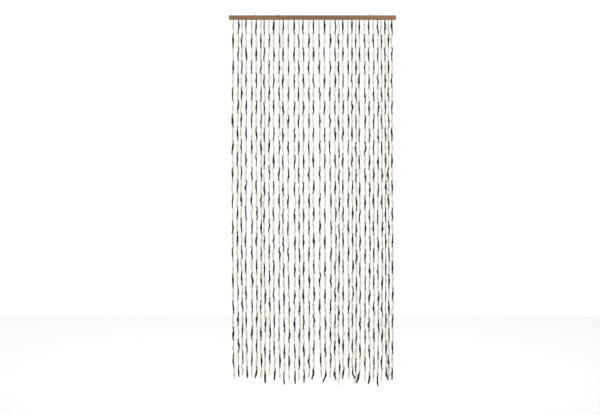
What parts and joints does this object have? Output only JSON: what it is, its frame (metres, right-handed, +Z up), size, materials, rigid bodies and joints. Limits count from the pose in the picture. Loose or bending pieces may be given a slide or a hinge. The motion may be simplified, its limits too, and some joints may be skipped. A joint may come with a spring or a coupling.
{
  "type": "knotted door curtain with its wooden hanging bar",
  "caption": "Door curtain of black and cream cotton strips knotted end to end into hanging strands, under a plain wooden bar with small screw eyes.",
  "frame": {"origin": "centre of the bar's back face", "axes": "+Z up, -Y towards the front, +X to the right seen from the front"},
  "size_m": [0.9, 0.018, 2.0123],
  "materials": {
    "wood": "satin brown stain, worn lighter along the edges",
    "steel": "zinc plated wire",
    "cream_cotton": "undyed cotton strip, matt and slightly fuzzy",
    "black_cotton": "black cotton strip, matt and slightly fuzzy"
  },
  "bodies": {
    "root": {"bar": "wood", "eye_left": "steel", "eye_right": "steel", "strands_left": "cream_cotton", "strands_right": "cream_cotton"}
  },
  "joints": []
}
